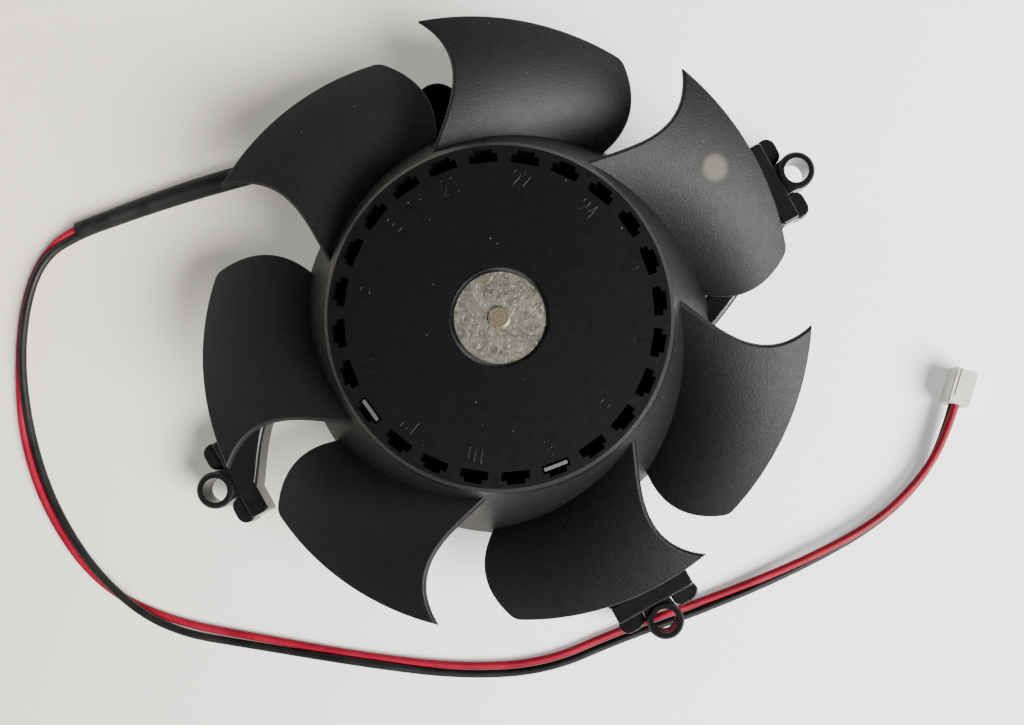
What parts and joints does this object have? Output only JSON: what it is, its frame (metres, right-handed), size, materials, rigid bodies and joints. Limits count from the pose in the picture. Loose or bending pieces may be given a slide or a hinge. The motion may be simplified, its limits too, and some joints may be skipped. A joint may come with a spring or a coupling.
{
  "type": "axial fan with external-rotor motor",
  "caption": "Axial fan wheel with sickle blades on an external-rotor DC motor, carried by a moulded bracket with three screw ears and a two-core lead with a plug.",
  "frame": {"origin": "on the axis of rotation, at the rear face of the bracket", "axes": "+Z along the axis of rotation towards the front of the impeller; the screw ears lie at (+X,+Y), (+X,-Y) and (-X,-Y) on the corners of a square parallel to X and Y; the cable leaves near (-X,+Y)"},
  "size_m": [0.1911, 0.1335, 0.035],
  "materials": {
    "impeller_plastic": "fine spark-eroded satin black, darker and smoother on the hub",
    "bracket_plastic": "polished black moulding with bright edge highlights",
    "clip_steel": "bright spring steel strip",
    "boss_zinc": "mottled zinc-plated steel with a crystalline bloom",
    "cup_steel": "blackened drawn steel",
    "magnet_ferrite": "bonded ferrite, dull dark grey",
    "shaft_steel": "ground steel with a brownish oil film on the end",
    "bearing_steel": "ground and polished bearing steel",
    "cage_steel": "pressed brass cage",
    "spring_steel": "plain spring steel",
    "lamination_steel": "stacked electrical steel with visible sheet edges",
    "insulator_nylon": "natural nylon",
    "winding_copper": "enamelled copper wire",
    "pin_tin": "tinned brass",
    "board_laminate": "green solder mask on glass laminate",
    "component_black": "moulded component body",
    "capacitor_can": "drawn aluminium can with a dark sleeve mark",
    "solder": "solder",
    "label_film": "silver-grey film without print",
    "sleeve_black": "shrunk black sleeving",
    "wire_red": "red PVC insulation",
    "wire_black": "black PVC insulation",
    "plug_nylon": "natural white nylon, slightly see-through at the edges"
  },
  "bodies": {
    "bracket": {"motor_bracket": "bracket_plastic", "cable_clip": "bracket_plastic", "front_bearing_outer_race": "bearing_steel", "rear_bearing_outer_race": "bearing_steel", "stator_core": "lamination_steel", "upper_insulator": "insulator_nylon", "lower_insulator": "insulator_nylon", "stator_coil_1": "winding_copper", "stator_coil_2": "winding_copper", "stator_coil_3": "winding_copper", "stator_coil_4": "winding_copper", "terminal_pins": "pin_tin", "plug_terminals": "pin_tin", "circuit_board": "board_laminate", "driver_chip": "component_black", "hall_sensor": "component_black", "capacitor": "capacitor_can", "solder_joints": "solder", "rear_label": "label_film", "lead_sleeve": "sleeve_black", "red_lead": "wire_red", "black_lead": "wire_black", "plug_housing": "plug_nylon"},
    "rotor": {"impeller": "impeller_plastic", "balance_clips": "clip_steel", "rotor_cup": "cup_steel", "rotor_boss": "boss_zinc", "rotor_magnet": "magnet_ferrite", "shaft": "shaft_steel", "retaining_clip": "spring_steel", "thrust_washer": "spring_steel", "preload_washer": "spring_steel", "front_bearing_inner_race": "bearing_steel", "rear_bearing_inner_race": "bearing_steel"},
    "front_cage": {"front_bearing_balls": "bearing_steel", "front_bearing_cage": "cage_steel"},
    "rear_cage": {"rear_bearing_balls": "bearing_steel", "rear_bearing_cage": "cage_steel"}
  },
  "joints": [
    {"name": "rotor_spin", "type": "hinge", "parent": "bracket", "child": "rotor", "pos_m": [0, 0, 0.0265], "axis": [0, 0, 1], "continuous": true},
    {"name": "front_cage_spin", "type": "hinge", "parent": "bracket", "child": "front_cage", "pos_m": [0, 0, 0.0265], "axis": [0, 0, 1], "continuous": true},
    {"name": "rear_cage_spin", "type": "hinge", "parent": "bracket", "child": "rear_cage", "pos_m": [0, 0, 0.008], "axis": [0, 0, 1], "continuous": true}
  ],
  "couplings": [
    {"joint": "front_cage_spin", "follows": "rotor_spin", "ratio": 0.3733},
    {"joint": "rear_cage_spin", "follows": "rotor_spin", "ratio": 0.3733}
  ]
}
